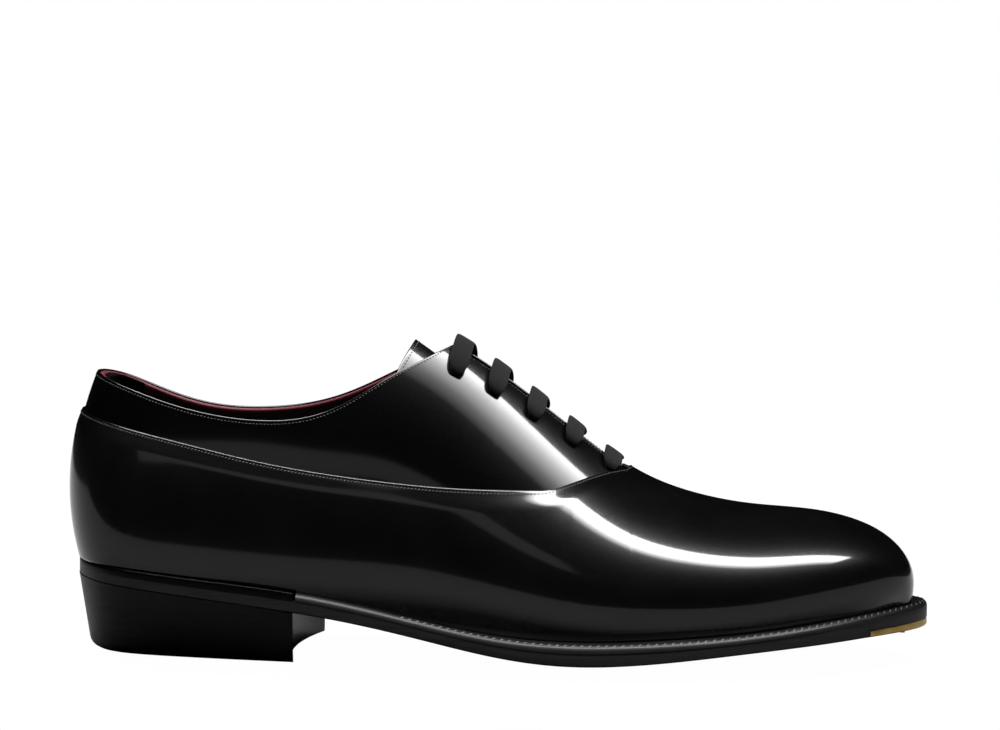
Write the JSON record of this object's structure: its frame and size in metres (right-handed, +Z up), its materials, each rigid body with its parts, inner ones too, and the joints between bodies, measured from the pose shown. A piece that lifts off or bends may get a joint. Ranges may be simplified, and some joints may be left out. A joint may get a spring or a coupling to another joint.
{
  "type": "leather oxford shoe",
  "caption": "Closed-laced dress shoe: one-piece lower upper, two quarters over a hinged tongue, ribbon lace, welted sole with brass toe plate, and stacked heel.",
  "frame": {"origin": "on the ground, under the middle of the shoe's length and width", "axes": "+X from the heel to the toe, +Y to the inner (medial) side, +Z up"},
  "size_m": [0.3058, 0.0954, 0.1134],
  "materials": {
    "patent_leather": "black leather polished to a high gloss",
    "wine_lining": "smooth dark red lining leather",
    "black_lining": "smooth black lining leather",
    "tan_leather": "undyed vegetable-tanned leather",
    "edge_leather": "black waxed and burnished sole leather",
    "lace_cloth": "matt black woven cotton tape",
    "brass": "satin brass",
    "steel": "plain spring steel",
    "cork": "ground cork and binder",
    "rubber": "black rubber"
  },
  "bodies": {
    "shoe": {"golosh": "patent_leather", "quarter_lateral": "patent_leather", "quarter_medial": "patent_leather", "quarter_lining": "wine_lining", "vamp_lining": "tan_leather", "heel_grip": "black_lining", "facing_stays": "tan_leather", "eyelets": "brass", "lace": "lace_cloth", "aglets": "lace_cloth", "throat_bar": "lace_cloth", "toe_puff": "tan_leather", "heel_counter": "tan_leather", "sock_lining": "black_lining", "insole": "tan_leather", "cork_filler": "cork", "shank": "steel", "welt": "edge_leather", "heel_rand": "edge_leather", "outsole": "edge_leather", "toe_plate": "brass", "toe_plate_screws": "brass", "heel_wedge": "edge_leather", "heel_lift_upper": "edge_leather", "heel_lift_lower": "edge_leather", "top_piece": "rubber", "heel_nails": "brass"},
    "tongue": {"tongue": "patent_leather", "tongue_lining": "wine_lining"}
  },
  "joints": [
    {"name": "tongue_hinge", "type": "hinge", "parent": "shoe", "child": "tongue", "pos_m": [0.0525, 0, 0.0545], "axis": [0, -1, 0], "range_deg": [0, 18], "stiffness_Nm_per_rad": 0.25, "springref_deg": -3.44}
  ]
}
